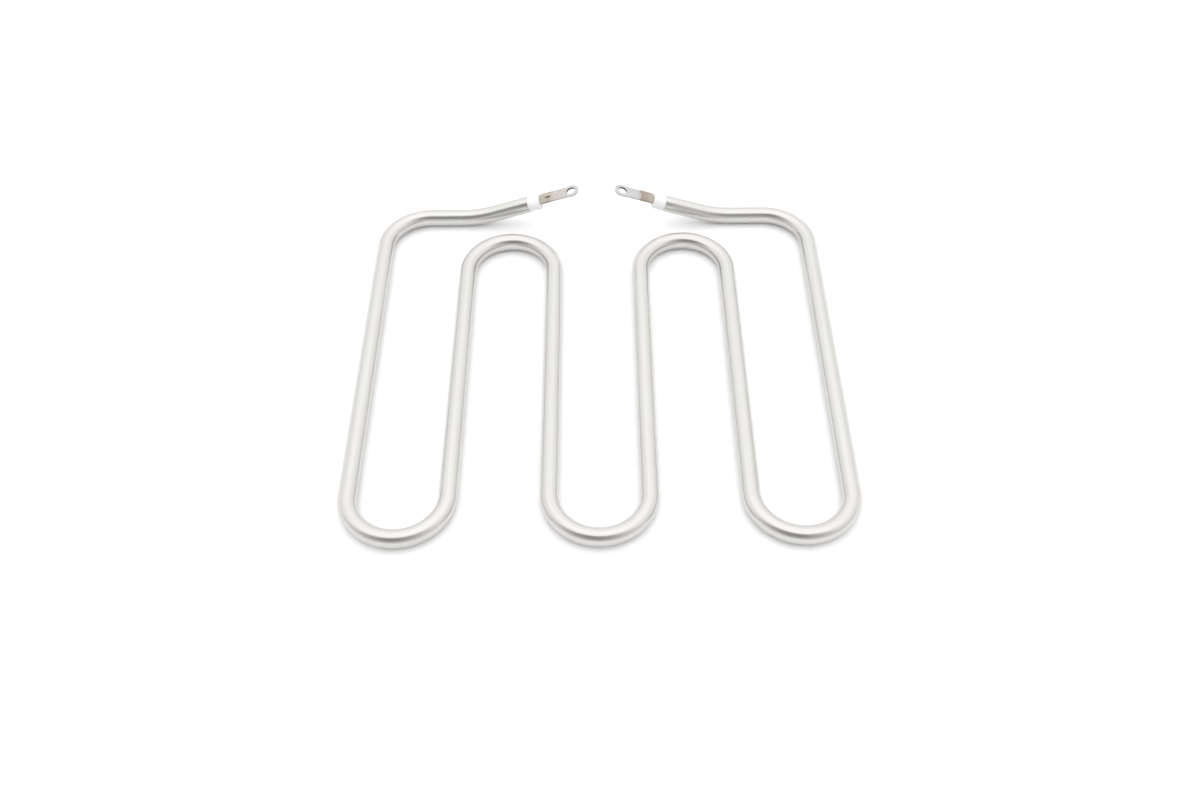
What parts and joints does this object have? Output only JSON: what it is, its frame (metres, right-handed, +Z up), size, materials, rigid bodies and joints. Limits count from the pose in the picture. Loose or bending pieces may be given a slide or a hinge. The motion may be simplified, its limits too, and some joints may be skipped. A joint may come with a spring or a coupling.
{
  "type": "tubular heating element",
  "caption": "Flat serpentine steel tube heater whose ends rise at the back to ceramic bushes and eyed screw terminals, for warming air or melting frost.",
  "frame": {"origin": "under the middle of the whole outline, on the surface that the serpentine lies on", "axes": "+X across the legs towards the right terminal's side, +Y along the legs towards the terminals, +Z up from the surface"},
  "size_m": [0.215, 0.1999, 0.0221],
  "materials": {
    "steel_sheath": "satin, annealed",
    "terminal_metal": "dull nickel plate with weld tint",
    "white_ceramic": "matt, unglazed",
    "magnesia": "pressed powder",
    "heating_wire": "bare resistance wire",
    "seal_resin": "cast silicone"
  },
  "bodies": {
    "root": {"sheath_tube": "steel_sheath", "magnesia_filling": "magnesia", "resistance_coil": "heating_wire", "terminal_pin_left": "terminal_metal", "end_seal_left": "seal_resin", "ceramic_bush_left": "white_ceramic", "terminal_tab_left": "terminal_metal", "terminal_pin_right": "terminal_metal", "end_seal_right": "seal_resin", "ceramic_bush_right": "white_ceramic", "terminal_tab_right": "terminal_metal"}
  },
  "joints": []
}
